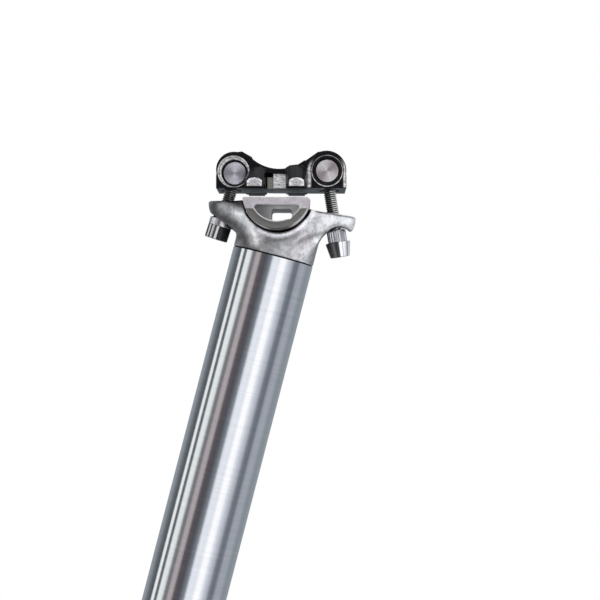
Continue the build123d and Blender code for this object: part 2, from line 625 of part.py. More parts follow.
def head():
    circle = Pos(0, 0, SEAM_Z + NECK_STRAIGHT) * Circle(NECK_R)
    block = RectangleRounded(2 * NECK_R, 2 * NECK_HALF, NECK_CORNER)
    body = turned(
        (0, SEAM_Z), (NECK_R - SEAM_CHAMFER, SEAM_Z), (NECK_R, SEAM_Z + SEAM_CHAMFER),
        (NECK_R, SEAM_Z + NECK_STRAIGHT), (0, SEAM_Z + NECK_STRAIGHT))
    body += loft([circle, Pos(0, 0, SEAM_Z + NECK_FULL) * block])
    body += Pos(0, 0, SEAM_Z + NECK_FULL) * extrude(block, 15)
    body += arm(FRONT_ARM, FRONT_PLAN) + arm(REAR_ARM, REAR_PLAN)
    # the top is cut level with the rails in front of the cradle and along the rear arm behind it
    body -= CLAMP * Pos(-24, 0, FRONT_TOP_Q + 15) * Box(60, 80, 30)
    body -= side_plate([(x, SEAM_Z + z) for x, z in REAR_TOP], REACH / 2)
    body -= CLAMP * (ALONG_Y * Cylinder(SEAT_R, REACH))
    for side in (-1, 1):
        relief = Pos(RELIEF_P, side * (RELIEF_FROM + 10), RELIEF_Q) * ALONG_Y * Cylinder(RELIEF_R, 20)
        body -= CLAMP * relief
    for axes, at, radius in ((FRONT_BOLT_AXES, FRONT_DOME_AT, FRONT_DOME_R),
                             (REAR_BOLT_AXES, REAR_DOME_AT, REAR_DOME_R)):
        seat = Pos(0, 0, -at - radius) * Sphere(radius + DOME_GAP)
        body -= axes * (seat & rod(SPOT_R, -at - 2 * radius, 0))
        body -= axes * rod(SPOT_R, -at - REACH, -at - SPOT_SINK)
        body -= axes * Pos(0, 0, -at) * Box(ARM_HOLE_LENGTH, ARM_HOLE_WIDTH, 24)
    plug = ring(ROD_R + BOND_GAP, TUBE_ID / 2 - BOND_GAP, PLUG_BOTTOM, SEAM_Z)
    bore = rod(ROD_R + BOND_GAP, PLUG_BOTTOM, ROD_TOP + ROD_CROWN_GAP)
    return (body + plug) - bore


# ---------------------------------------------------------------- build every node
SPRING_TOP = ROD_BOTTOM - FOOT_FLANGE
SPRING_BOTTOM = SPRING_TOP - SPRING_LENGTH

save(inner_post(), "inner_post")
save(top_cap(), "top_cap")
save(rod_guide_bushing(), "rod_guide_bushing")
save(upper_bushing(), "upper_bushing")
save(preload_seat(), "preload_seat")
save(preload_adjuster(), "preload_adjuster")
save(retaining_ring(), "retaining_ring")
save(main_spring(), "main_spring")
save(upper_tube(), "upper_tube")
save(seal_collar(), "seal_collar")
save(wiper_seal(), "wiper_seal")
save(lower_bushing(), "lower_bushing")
save(anti_rotation_keys(), "anti_rotation_keys")
save(push_rod(), "push_rod")
save(top_out_bumper(), "top_out_bumper")
save(bottom_out_bumper(), "bottom_out_bumper")
save(spring_foot(), "spring_foot")
save(foot_screw(), "foot_screw")
save(head(), "head")
save(lower_cradle(), "lower_cradle")
save(upper_clamp(), "upper_clamp")
save(barrel_nut(FRONT_BOLT_AXES), "front_barrel_nut")
save(barrel_nut(REAR_BOLT_AXES), "rear_barrel_nut")
save(clamp_bolt(FRONT_BOLT_AXES, FRONT_HEAD_AT, FRONT_HEAD_R, FRONT_HEAD_R, FRONT_HEAD), "front_clamp_bolt")
save(clamp_bolt(REAR_BOLT_AXES, REAR_HEAD_AT, REAR_HEAD_R, REAR_HEAD_END_R, REAR_HEAD), "rear_clamp_bolt")
save(front_washer(), "front_washer")
save(rear_washer(), "rear_washer")
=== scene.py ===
import json
import math

import bpy
import numpy as np
from mathutils import Matrix, Vector


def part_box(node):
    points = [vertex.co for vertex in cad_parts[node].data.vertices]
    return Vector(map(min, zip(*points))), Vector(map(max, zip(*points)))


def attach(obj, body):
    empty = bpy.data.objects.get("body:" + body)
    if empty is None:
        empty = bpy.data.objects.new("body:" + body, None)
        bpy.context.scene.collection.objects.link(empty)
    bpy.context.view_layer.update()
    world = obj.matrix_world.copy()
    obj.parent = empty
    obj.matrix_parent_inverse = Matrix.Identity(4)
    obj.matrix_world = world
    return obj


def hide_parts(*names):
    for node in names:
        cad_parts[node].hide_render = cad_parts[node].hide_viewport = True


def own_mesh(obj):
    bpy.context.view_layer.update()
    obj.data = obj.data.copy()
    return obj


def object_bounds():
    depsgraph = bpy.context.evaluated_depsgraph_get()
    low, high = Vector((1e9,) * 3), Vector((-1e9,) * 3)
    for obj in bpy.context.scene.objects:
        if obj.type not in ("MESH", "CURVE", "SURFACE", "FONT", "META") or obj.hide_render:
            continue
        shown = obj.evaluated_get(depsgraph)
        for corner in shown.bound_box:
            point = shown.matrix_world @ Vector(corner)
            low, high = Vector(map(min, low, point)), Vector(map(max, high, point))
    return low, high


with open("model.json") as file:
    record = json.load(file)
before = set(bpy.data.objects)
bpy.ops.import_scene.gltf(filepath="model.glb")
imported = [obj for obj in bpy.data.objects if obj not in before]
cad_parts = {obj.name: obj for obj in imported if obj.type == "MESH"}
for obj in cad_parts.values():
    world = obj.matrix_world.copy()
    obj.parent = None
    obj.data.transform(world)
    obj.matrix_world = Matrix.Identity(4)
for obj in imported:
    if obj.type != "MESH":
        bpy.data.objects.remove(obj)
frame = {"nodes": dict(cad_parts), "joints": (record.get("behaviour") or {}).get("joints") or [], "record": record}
CAD_LOW, CAD_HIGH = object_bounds()
NODES = frame["nodes"]
JOINTS = {j["name"]: j for j in frame["joints"]}
MOUNTS = {m["name"]: m for m in frame["record"]["mounts"]}
MM = 0.001
UP = Vector((0, 0, 1))
ACROSS = Vector((0, 1, 0))

# ---------------------------------------------------------------- reference points
HINGE = Vector(JOINTS["saddle_tilt"]["pos_m"])
RAIL = Vector(MOUNTS["right_rail"]["axis"]).normalized()
ABOVE_RAIL = RAIL.cross(ACROSS).normalized()
if ABOVE_RAIL.z < 0:
    ABOVE_RAIL.negate()
FRONT_NUT = Vector(JOINTS["front_nut_swivel"]["pos_m"])
REAR_NUT = Vector(JOINTS["rear_nut_swivel"]["pos_m"])
FRONT_AXIS = Vector(JOINTS["front_bolt_turn"]["axis"]).normalized()
REAR_AXIS = Vector(JOINTS["rear_bolt_turn"]["axis"]).normalized()
SEAM = Vector((0, 0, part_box("upper_tube")[1].z))
# the cradle's seat in the head opens out near the head's sides, a little off the hinge centre
RELIEF_AT = HINGE + RAIL * (0.15 * MM) - ABOVE_RAIL * (0.95 * MM)
RELIEF_R = 13.25 * MM
RELIEF_FROM = 11.2 * MM   # from the middle plane
# the relief's edge is drawn in towards the cradle, from one slope of its wall to the other
DRAWN_IN = 0.60 * MM
DRAWN_FROM, DRAWN_FULL = 0.40, 0.72
# faces of the clamp and the cradle, as distances from the middle plane
EYE_FACE = 16.75 * MM
FINGER_FACE = 27.40 * MM
CRADLE_FACE = 26.85 * MM


# ---------------------------------------------------------------- shader graph helper
class Graph:
    """A small wrapper that keeps node materials readable."""

    def __init__(self, name, tree=None):
        if tree is None:
            self.material = bpy.data.materials.new(name)
            self.material.use_nodes = True
            tree = self.material.node_tree
        self.tree = tree
        self.tree.nodes.clear()

    def node(self, kind, settings=None, **inputs):
        """A shader node with its settings and named inputs."""
        n = self.tree.nodes.new("ShaderNode" + kind)
        for key, value in (settings or {}).items():
            setattr(n, key, value)
        for key, value in inputs.items():
            self.feed(n.inputs[key.replace("_", " ")], value)
        return n

    def feed(self, socket, value):
        """Links a socket or a node to an input, or sets the input's own value."""
        if isinstance(value, bpy.types.NodeSocket):
            self.tree.links.new(value, socket)
        elif isinstance(value, bpy.types.Node):
            self.tree.links.new(value.outputs[0], socket)
        elif isinstance(value, (tuple, list)) and len(value) == 3 and socket.type == "RGBA":
            socket.default_value = (*value, 1.0)
        else:
            socket.default_value = value

    def calc(self, operation, *values, clamp=False):
        """One step of arithmetic."""
        n = self.tree.nodes.new("ShaderNodeMath")
        n.operation = operation
        n.use_clamp = clamp
        for socket, value in zip(n.inputs, values):
            self.feed(socket, value)
        return n.outputs[0]

    def dot(self, a, b):
        n = self.tree.nodes.new("ShaderNodeVectorMath")
        n.operation = "DOT_PRODUCT"
        self.feed(n.inputs[0], a)
        self.feed(n.inputs[1], b)
        return n.outputs["Value"]

    def shifted(self, a, b):
        """Place a as seen from place b."""
        n = self.tree.nodes.new("ShaderNodeVectorMath")
        n.operation = "SUBTRACT"
        self.feed(n.inputs[0], a)
        self.feed(n.inputs[1], b)
        return n.outputs[0]

    def product(self, first, *others):
        """All the values multiplied together."""
        for value in others:
            first = self.calc("MULTIPLY", first, value)
        return first

    def radius(self, u, v):
        """Length of (u, v)."""
        return self.calc("SQRT", self.calc("ADD", self.product(u, u), self.product(v, v)))

    def past(self, value, edge, soft):
        """0 before an edge, 1 past it."""
        return self.span(value, edge - soft, edge + soft)

    def band(self, value, low, high, soft):
        """1 between low and high, 0 elsewhere."""
        return self.calc("SUBTRACT", self.past(value, low, soft), self.past(value, high, soft), clamp=True)

    def span(self, value, low, high, a=0.0, b=1.0):
        """Smooth step from a at low to b at high."""
        n = self.node("MapRange", {"interpolation_type": "SMOOTHSTEP"})
        for index, item in enumerate((value, low, high, a, b)):
            self.feed(n.inputs[index], item)
        return n.outputs[0]

    def choose(self, share, a, b):
        """Number a where share is 0, b where it is 1."""
        n = self.node("Mix", {"data_type": "FLOAT"})
        for index, item in enumerate((share, None, a, b)):
            if item is not None:
                self.feed(n.inputs[index], item)
        return n.outputs[0]

    def mix(self, share, a, b):
        """Colour a where share is 0, b where it is 1."""
        n = self.node("Mix", {"data_type": "RGBA"})
        self.feed(n.inputs[0], share)
        self.feed(n.inputs[6], a)
        self.feed(n.inputs[7], b)
        return n.outputs[2]

    def noise(self, scale, detail, rough, stretch=None, where=None):
        """Cloudy noise round 0.5, stretched along the axes if asked."""
        vector = where if where is not None else self.place()
        if stretch is not None:
            m = self.node("Mapping")
            self.feed(m.inputs["Vector"], vector)
            m.inputs["Scale"].default_value = stretch
            vector = m.outputs[0]
        n = self.node("TexNoise")
        self.feed(n.inputs["Vector"], vector)
        n.inputs["Scale"].default_value = scale
        n.inputs["Detail"].default_value = detail
        n.inputs["Roughness"].default_value = rough
        return n.outputs[0]

    def place(self):
        """The place on the piece, in its own frame."""
        return self.node("TexCoord").outputs["Object"]

    def seam_shadow(self, place):
        """Dark line of dirt in the joint between the tube and the head."""
        height = self.dot(self.shifted(place, SEAM), UP)
        return self.span(self.calc("ABSOLUTE", height), 0.20 * MM, 0.42 * MM, 0.12, 1.0)

    def scaled(self, colour, shade):
        """A colour made darker or brighter by a shade."""
        n = self.node("VectorMath", {"operation": "SCALE"})
        self.feed(n.inputs[0], colour)
        self.feed(n.inputs["Scale"], shade)
        return n.outputs[0]

    def occlusion(self, distance, samples):
        """1 in the open, falling towards 0 in hollows about as deep as distance."""
        n = self.node("AmbientOcclusion", {"samples": samples})
        n.inputs["Distance"].default_value = distance
        return n.outputs["AO"]

    def bump(self, height, distance, strength, normal=None):
        """A normal roughened by a height map."""
        n = self.node("Bump")
        n.inputs["Strength"].default_value = strength
        n.inputs["Distance"].default_value = distance
        self.feed(n.inputs["Height"], height)
        if normal is not None:
            self.feed(n.inputs["Normal"], normal)
        return n.outputs["Normal"]

    def bevel(self, radius):
        """A normal that looks rounded at the edges."""
        n = self.node("Bevel", {"samples": 6})
        n.inputs["Radius"].default_value = radius
        return n.outputs[0]

    def edges(self, radius):
        """1 on sharp edges, found where the rounded and the true normal part."""
        normal = self.node("NewGeometry").outputs["Normal"]
        agree = self.dot(self.bevel(radius), normal)
        return self.span(agree, 0.995, 0.90)

    def colour_ramp(self, value, steps):
        """A colour read from (place from 0 to 1, colour) steps."""
        n = self.node("ValToRGB", None, Fac=value)
        elements = n.color_ramp.elements
        for element, (where, colour) in zip((elements[0], elements[1]), (steps[0], steps[-1])):
            element.position = where
            element.color = (*colour, 1)
        for where, colour in steps[1:-1]:
            elements.new(where).color = (*colour, 1)
        return n.outputs[0]

    def finish(self, **inputs):
        """Ends the graph in one shader and returns the material."""
        shader = self.node("BsdfPrincipled", None, **inputs)
        out = self.node("OutputMaterial")
        self.feed(out.inputs["Surface"], shader.outputs[0])
        return self.material


def give(node, material):
    """Puts a material in every slot of a CAD node or piece."""
    data = (NODES[node] if isinstance(node, str) else node).data
    if not data.materials:
        data.materials.append(material)
    for i in range(len(data.materials)):
        data.materials[i] = material


# ---------------------------------------------------------------- materials
def brushed_tube():
    """Bright tube, brushed round its circumference."""
    g = Graph("brushed_tube")
    lines = g.noise(1.0, 5.0, 0.7, (25, 25, 5200))
    wide = g.noise(1.0, 3.0, 0.6, (14, 14, 650))
    along = g.noise(1.0, 2.0, 0.5, (900, 900, 6))
    shade = g.product(g.span(lines, 0.3, 0.7, 0.93, 1.0), g.span(wide, 0.25, 0.75, 0.96, 1.03),
                      g.span(along, 0.3, 0.7, 0.97, 1.02), g.seam_shadow(g.place()))
    tone = g.scaled((0.90, 0.905, 0.91), shade)
    tangent = g.node("Tangent", {"direction_type": "RADIAL", "axis": "Z"})
    return g.finish(Base_Color=tone, Metallic=1.0, Roughness=g.span(wide, 0.2, 0.8, 0.09, 0.15),
                    Anisotropic=0.55, Anisotropic_Rotation=0.25, Tangent=tangent,
                    Normal=g.bump(lines, 0.012 * MM, 0.5))


def forged():
    """Blasted forging: mottled satin skin with fine pits, painted shade in hollows and in the gap under the
    cradle, painted light and shade read from the mesh, and painted highlights on the edges.
    """
    g = Graph("forged_head")
    place = g.place()
    blotch = g.noise(150, 4.0, 0.6)
    mottle = g.noise(560, 5.0, 0.70)
    drift = g.noise(55, 3.0, 0.5)
    skin = g.noise(2400, 3.0, 0.6)
    pits = g.noise(900, 2.0, 0.5)
    # painted shade: ambient occlusion darkens the hollows
    hollow_shade = g.span(g.occlusion(10 * MM, 8), 0.20, 0.90, 0.36, 1.0)
    # painted light and shade, worked out from the shape and stored on the mesh
    painted_light = g.node("Attribute", {"attribute_name": "painted_light"}).outputs["Fac"]
    at = g.shifted(place, RELIEF_AT)
    along, above = g.dot(at, RAIL), g.dot(at, ABOVE_RAIL)
    radius = g.radius(along, above)
    below = g.calc("DIVIDE", g.product(above, -1.0), radius)
    radius = g.calc("ADD", radius, g.span(below, DRAWN_FROM, DRAWN_FULL, 0.0, DRAWN_IN))
    # painted shade: almost black in the gap inside the relief, under the cradle
    gap_shade = g.span(radius, RELIEF_R - 0.1 * MM, RELIEF_R + 0.12 * MM, 0.08, 1.0)
    shade = g.product(g.span(blotch, 0.3, 0.7, 0.76, 1.08), hollow_shade, g.span(pits, 0.28, 0.44, 0.84, 1.0),
                      g.span(mottle, 0.36, 0.58, 0.72, 1.08), painted_light, gap_shade, g.seam_shadow(place))
    tint = g.mix(g.span(drift, 0.44, 0.64), (0.89, 0.908, 0.935), (0.925, 0.89, 0.92))
    # painted highlight: sharp edges are tinted nearly white
    tint = g.mix(g.product(g.edges(0.4 * MM), 0.8), tint, (1.0, 0.98, 0.98))
    height = g.calc("ADD", g.product(skin, 0.5), g.product(pits, 0.8))
    return g.finish(Base_Color=g.scaled(tint, shade), Metallic=0.55, Specular_IOR_Level=0.3,
                    Roughness=g.span(blotch, 0.25, 0.75, 0.26, 0.40),
                    Normal=g.bump(height, 0.06 * MM, 0.6, g.bevel(0.35 * MM)))


def turned(name, tone, low, high, centre, axis, ring_scale=9000.0, spokes=0.0, sheen_at=0.0):
    """Lathe-turned metal: rings round an axis, with an optional fan of radial marks and, with it, a painted
    bow-tie highlight.
    """
    g = Graph(name)
    at = g.shifted(g.place(), centre)
    along = g.dot(at, axis)
    side = axis.orthogonal().normalized()
    other = axis.cross(side)
    u, v = g.dot(at, side), g.dot(at, other)
    radius = g.radius(u, v)
    angle = g.calc("ARCTAN2", v, u)
    ring_place = g.node("CombineXYZ", None, X=g.product(radius, ring_scale),
                        Y=g.product(angle, 0.6), Z=g.product(along, 0.6 * ring_scale))
    rings = g.noise(1.0, 4.0, 0.65, where=ring_place.outputs[0])
    fan_place = g.node("CombineXYZ", None, X=g.product(radius, 300.0), Y=g.product(angle, 26.0), Z=0.0)
    fan = g.noise(1.0, 3.0, 0.7, where=fan_place.outputs[0])
    height = g.calc("ADD", rings, g.product(fan, spokes))
    # painted highlight: a bow-tie of light across the turned face, turned round by sheen_at
    sheen = g.calc("COSINE", g.product(g.calc("SUBTRACT", angle, sheen_at), 2.0))
    shade = g.product(g.span(height, 0.35, 0.65 + 0.6 * spokes, 0.66, 1.06),
                      g.calc("ADD", 1.0, g.product(sheen, 0.40 * min(spokes, 1.0))))
    return g.finish(Base_Color=g.scaled(tone, shade), Metallic=1.0,
                    Roughness=g.span(rings, 0.25, 0.75, low, high),
                    Normal=g.bump(height, 0.04 * MM, 0.6, g.bevel(0.15 * MM)))


def anodised(name, tone, low, high, sheen_scale=420.0, bevel=0.3 * MM):
    """Dark anodised aluminium with rubbed edges."""
    g = Graph(name)
    cloud = g.noise(sheen_scale, 5.0, 0.6)
    fine = g.noise(5200, 2.0, 0.5)
    worn = g.product(g.edges(bevel), g.span(g.noise(1300, 4.0, 0.7), 0.52, 0.7))
    base = g.mix(cloud, tone, tuple(2.1 * c for c in tone))
    colour = g.mix(g.product(worn, 0.55), base, (0.42, 0.42, 0.43))
    return g.finish(Base_Color=colour, Metallic=0.75, Roughness=g.span(cloud, 0.25, 0.75, low, high),
                    Normal=g.bump(fine, 0.02 * MM, 0.35, g.bevel(bevel)))


def round_eye(g, centre, along=0.0, above=0.0):
    """Place in an eye's face and distance from a point a little off its centre, in millimetres."""
    at = g.shifted(g.place(), centre)
    u = g.calc("DIVIDE", g.dot(at, RAIL), MM)
    v = g.calc("DIVIDE", g.dot(at, ABOVE_RAIL), MM)
    return u, v, g.radius(g.calc("SUBTRACT", u, along), g.calc("SUBTRACT", v, above))


def bare_front_eye(g):
    """A bare ring cut off centre, with painted shade in one groove round it and a painted highlight brightest at
    its left and right, fading towards black at its lower right, where it faces the finger.
    """
    u, v, moved = round_eye(g, FRONT_NUT, -0.45, 0.60)
    ring = g.product(g.span(g.radius(u, v), 5.0, 5.15), g.span(moved, 6.15, 5.95))
    turns = g.product(g.calc("SUBTRACT", moved, 6.0), 2 * math.pi)
    # painted shade in the groove
    groove_shade = g.span(g.calc("COSINE", turns), -1.0, 0.6, 0.30, 1.0)
    # painted highlight: brightest at the ring's left and right
    lean = g.calc("DIVIDE", g.calc("ABSOLUTE", u), g.calc("MAXIMUM", moved, 1.0))
    # darker towards the lower right
    toward_lower_right = g.product(g.span(u, 1.5, 4.5), g.span(v, 1.8, -0.4))
    return g.product(ring, groove_shade, g.span(lean, 0.1, 0.8, 0.50, 1.0), g.span(toward_lower_right, 0.0, 1.0, 1.0, 0.12))


def bare_rear_eye(g):
    """Two bare flanks, with a thin turned line inside them."""
    u, v, distance = round_eye(g, REAR_NUT)
    beside = g.radius(u, g.calc("MAXIMUM", v, 0.0))
    flank = g.product(g.span(distance, 6.25, 6.45), g.band(beside, 6.3, 7.3, 0.45), g.span(v, 5.2, -3.0))
    line = g.product(g.band(distance, 5.75, 6.0, 0.12), g.span(v, 3.5, -5.0, 0.22, 0.75))
    return g.calc("MAXIMUM", flank, line)


def bare_eyes(g, width):
    """The bare parts of both eye faces, rubbed thin in places."""
    rubbed = g.span(g.noise(1.0, 3.0, 0.6, (420, 200, 60)), 0.36, 0.52, 0.55, 1.0)
    drawn = g.calc("MAXIMUM", bare_front_eye(g), bare_rear_eye(g))
    return g.product(drawn, g.past(width, EYE_FACE, 0.05 * MM), rubbed)


def finger_middle(g, p, q, width):
    """The middle of a finger's end, painted darker so that its edge stands out as a painted highlight."""
    u = g.calc("SUBTRACT", g.calc("ABSOLUTE", g.calc("ADD", p, 0.45 * MM)), 7.9 * MM)
    v = g.calc("SUBTRACT", q, 4.4 * MM)
    within = g.radius(g.calc("DIVIDE", u, 2.9 * MM), g.calc("DIVIDE", v, 1.9 * MM))
    return g.product(g.span(within, 0.95, 0.45, 0.0, 0.75), g.past(width, FINGER_FACE - 0.5 * MM, 0.1 * MM))


def clamp_finish():
    """Black anodised forging whose eye faces, finger ends and recess pads are machined bare."""
    g = Graph("black_clamp")
    place = g.place()
    width = g.calc("ABSOLUTE", g.dot(place, ACROSS))
    at = g.shifted(place, HINGE)
    p, q = g.dot(at, RAIL), g.dot(at, ABOVE_RAIL)
    cloud = g.noise(520, 5.0, 0.6)
    scratch = g.noise(1.0, 3.0, 0.6, (500, 200, 1700))
    fingers = g.past(width, FINGER_FACE, 0.02 * MM)
    pads = g.product(g.band(p, -3.8 * MM, 4.0 * MM, 0.1 * MM), g.span(q, 8.9 * MM, 8.8 * MM),
                     g.band(width, 12.1 * MM, 16.0 * MM, 0.1 * MM))
    bare = g.calc("MAXIMUM", g.calc("MAXIMUM", bare_eyes(g, width), fingers), pads)
    worn = g.product(g.edges(0.3 * MM), g.span(g.noise(1500, 4.0, 0.7), 0.5, 0.68))
    black = g.mix(cloud, (0.002, 0.002, 0.0025), (0.008, 0.008, 0.009))
    black = g.mix(g.product(worn, 0.4), black, (0.35, 0.35, 0.36))
    silver = g.mix(g.span(scratch, 0.36, 0.60), (0.48, 0.46, 0.47), (1.0, 0.99, 0.99))
    # painted highlight: the finger ends keep bright rims round darker middles
    silver = g.mix(finger_middle(g, p, q, width), silver, (0.40, 0.40, 0.41))
    # the front pad is darker and more olive than the rear one
    front_pad = g.product(pads, g.span(p, -1.35 * MM, -1.45 * MM))
    silver = g.mix(front_pad, silver, (0.34, 0.34, 0.28))
    rough = g.choose(bare, g.span(cloud, 0.25, 0.75, 0.24, 0.40), g.span(scratch, 0.3, 0.7, 0.22, 0.42))
    height = g.calc("ADD", g.noise(4200, 2.0, 0.5), g.product(scratch, bare, 2.0))
    return g.finish(Base_Color=g.mix(bare, black, silver), Metallic=g.product(bare, 0.7),
                    Specular_IOR_Level=g.choose(bare, 0.05, 0.16), Roughness=rough,
                    Normal=g.bump(height, 0.02 * MM, 0.4, g.bevel(0.3 * MM)))


def cradle_finish():
    """Machined cradle: pale blasted upper band, darker lower crescent, painted highlights on the window rim and
    the lower rear edge, painted shade on the lower edge and in hollows, painted light and shade in the pocket.
    """
    g = Graph("machined_cradle")
    place = g.place()
    at = g.shifted(place, HINGE)
    p, q = g.dot(at, RAIL), g.dot(at, ABOVE_RAIL)
    width = g.calc("ABSOLUTE", g.dot(place, ACROSS))
    radius = g.radius(p, q)
    grain = g.noise(3000, 3.0, 0.6)
    cloud = g.noise(260, 4.0, 0.6)
    speckle = g.span(g.noise(1500, 3.0, 0.7), 0.48, 0.62, 0.0, 0.45)
    end_face = g.past(width, CRADLE_FACE, 0.05 * MM)
    crescent = g.product(end_face, g.span(q, -5.0 * MM, -5.4 * MM), g.span(radius, 10.05 * MM, 10.20 * MM))
    # painted shade on the lower edge, next to the gap under it
    edge_shade = g.product(g.span(radius, 12.50 * MM, 12.62 * MM), g.span(q, -4.5 * MM, -6.0 * MM),
                          g.band(p, -3.0 * MM, 5.0 * MM, 1.5 * MM))
    # painted highlight on the lower rear edge
    edge_highlight = g.product(g.span(radius, 12.43 * MM, 12.60 * MM), g.span(q, -4.0 * MM, -5.2 * MM),
                            g.band(p, 6.4 * MM, 12.5 * MM, 1.2 * MM))
    # painted highlight round the window
    window_rim_highlight = g.product(end_face, g.span(q, -3.0 * MM, -3.4 * MM),
                           g.band(radius, 9.75 * MM, 10.02 * MM, 0.05 * MM))
    # painted shade: ambient occlusion darkens the hollows
    hollow = g.span(g.occlusion(8 * MM, 6), 0.7, 0.2, 0.0, 0.45)
    # painted light and shade in the window's pocket: grey to the front, nearly white and less metallic to the rear
    pocket_light = g.product(g.span(width, 27.0 * MM, 26.6 * MM), g.span(radius, 10.0 * MM, 9.8 * MM),
                       g.span(q, -3.4 * MM, -3.5 * MM))
    tone = g.mix(g.span(cloud, 0.3, 0.7), (0.76, 0.70, 0.72), (0.90, 0.85, 0.86))
    layers = [
        (speckle, (0.50, 0.45, 0.47)),
        (crescent, g.mix(cloud, (0.22, 0.21, 0.195), (0.30, 0.285, 0.265))),
        (edge_shade, (0.10, 0.10, 0.10)),
        (edge_highlight, (0.85, 0.84, 0.83)),
        (window_rim_highlight, (0.98, 0.98, 0.98)),
        (hollow, (0.25, 0.25, 0.25)),
        (pocket_light, g.mix(g.span(p, -7.5 * MM, 1.5 * MM), (0.42, 0.42, 0.43), (0.92, 0.92, 0.92)))]
    for share, colour in layers:
        tone = g.mix(share, tone, colour)
    return g.finish(Base_Color=tone, Metallic=g.span(pocket_light, 0.0, 1.0, 0.92, 0.35),
                    Roughness=g.span(grain, 0.25, 0.75, 0.34, 0.52),
                    Normal=g.bump(grain, 0.03 * MM, 0.6, g.bevel(0.25 * MM)))


def moulded(name, tone, rough, grain_scale=1800.0, sheen=0.0):
    """Moulded rubber or plastic with a fine pebbled skin."""
    g = Graph(name)
    pebble = g.node("TexVoronoi", None, Vector=g.place(), Scale=grain_scale)
    cloud = g.noise(300, 4.0, 0.6)
    colour = g.mix(cloud, tuple(0.8 * c for c in tone), tuple(1.15 * c for c in tone))
    return g.finish(Base_Color=colour, Roughness=g.span(cloud, 0.25, 0.75, rough - 0.06, rough + 0.06),
                    Sheen_Weight=sheen,
                    Normal=g.bump(pebble.outputs["Distance"], 0.03 * MM, 0.5, g.bevel(0.2 * MM)))


TURNED_STEEL = (0.66, 0.67, 0.69)
POLYMER = (0.72, 0.68, 0.56)
ELASTOMER = (0.35, 0.05, 0.035)
ORIGIN = Vector((0, 0, 0))
MATERIALS = {
    "upper_tube": brushed_tube(),
    "lower_cradle": cradle_finish(),
    "upper_clamp": clamp_finish(),
    # nuts and washers: the last numbers set their radial marks, the strength of their painted bow-tie highlight
    # and, for the nuts, its angle
    "front_barrel_nut": turned("turned_nut_front", (0.74, 0.70, 0.73), 0.24, 0.40, FRONT_NUT, ACROSS,
                               5000.0, 1.2, 2.17),
    "rear_barrel_nut": turned("turned_nut_rear", (0.80, 0.70, 0.68), 0.24, 0.40, REAR_NUT, ACROSS,
                              5000.0, 1.2, 1.5),
    "front_washer": turned("washer_front", (0.95, 0.90, 0.91), 0.2, 0.34, FRONT_NUT, FRONT_AXIS,
                           1500.0, 0.5),
    "rear_washer": turned("washer_rear", (0.92, 0.90, 0.92), 0.2, 0.34, REAR_NUT, REAR_AXIS,
                          6000.0, 0.3),
    "inner_post": anodised("hard_anodised_post", (0.028, 0.029, 0.031), 0.22, 0.34, 160.0),
    "seal_collar": anodised("black_collar", (0.014, 0.014, 0.015), 0.26, 0.42),
    "top_cap": turned("turned_cap", TURNED_STEEL, 0.2, 0.34, ORIGIN, UP),
    "preload_seat": turned("turned_seat", TURNED_STEEL, 0.2, 0.34, ORIGIN, UP),
    "preload_adjuster": turned("turned_adjuster", (0.60, 0.61, 0.63), 0.2, 0.34, ORIGIN, UP),
    "spring_foot": turned("turned_foot", TURNED_STEEL, 0.2, 0.34, ORIGIN, UP),
    "push_rod": turned("ground_rod", (0.72, 0.72, 0.73), 0.08, 0.16, ORIGIN, UP),
    "foot_screw": turned("screw_steel", (0.5, 0.5, 0.5), 0.16, 0.28, ORIGIN, UP),
    "retaining_ring": anodised("ring_steel", (0.09, 0.09, 0.095), 0.25, 0.4),
    "rod_guide_bushing": moulded("guide_polymer", POLYMER, 0.5),
    "upper_bushing": moulded("upper_polymer", POLYMER, 0.5),
    "lower_bushing": moulded("lower_polymer", POLYMER, 0.5),
    "wiper_seal": moulded("wiper_rubber", (0.018, 0.018, 0.018), 0.6, 2600.0, 0.2),
    "top_out_bumper": moulded("top_elastomer", ELASTOMER, 0.42),
    "bottom_out_bumper": moulded("bottom_elastomer", ELASTOMER, 0.42),
    "anti_rotation_keys": turned("key_brass", (0.80, 0.58, 0.26), 0.2, 0.32, ORIGIN, UP),
}
for node, material in MATERIALS.items():
    give(node, material)


# ---------------------------------------------------------------- mesh helpers
def assign_piece(piece, body, node, material):
    """Lets a piece ride on a body and stand for a CAD node."""
    give(piece, material)
    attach(piece, body)
    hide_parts(node)


def new_piece(name, vertices, faces, body, node, material):
    """A smooth piece made from points and faces."""
    mesh = bpy.data.meshes.new(name)
    mesh.from_pydata([tuple(v) for v in vertices], [], faces)
    mesh.validate()
    mesh.shade_smooth()
    piece = bpy.data.objects.new(name, mesh)
    bpy.context.scene.collection.objects.link(piece)
    assign_piece(piece, body, node, material)
    return piece


def remeshed(name, node, voxel):
    """A closed quad mesh of a CAD node, as a new object."""
    piece = bpy.data.objects.new(name, NODES[node].data.copy())
    bpy.context.scene.collection.objects.link(piece)
    modifier = piece.modifiers.new("skin", "REMESH")
    modifier.mode = "VOXEL"
    modifier.voxel_size = voxel
    modifier.use_smooth_shade = True
    depsgraph = bpy.context.evaluated_depsgraph_get()
    mesh = bpy.data.meshes.new_from_object(piece.evaluated_get(depsgraph))
    piece.modifiers.clear()
    piece.data = mesh
    return piece


def read_points(mesh, what="co"):
    """Places of a mesh's points, or their normals, one row each."""
    values = np.empty(len(mesh.vertices) * 3)
    mesh.vertices.foreach_get(what, values)
    return values.reshape(-1, 3)


def write_points(mesh, points):
    """Moves a mesh's points."""
    mesh.vertices.foreach_set("co", points.ravel())
    mesh.update()


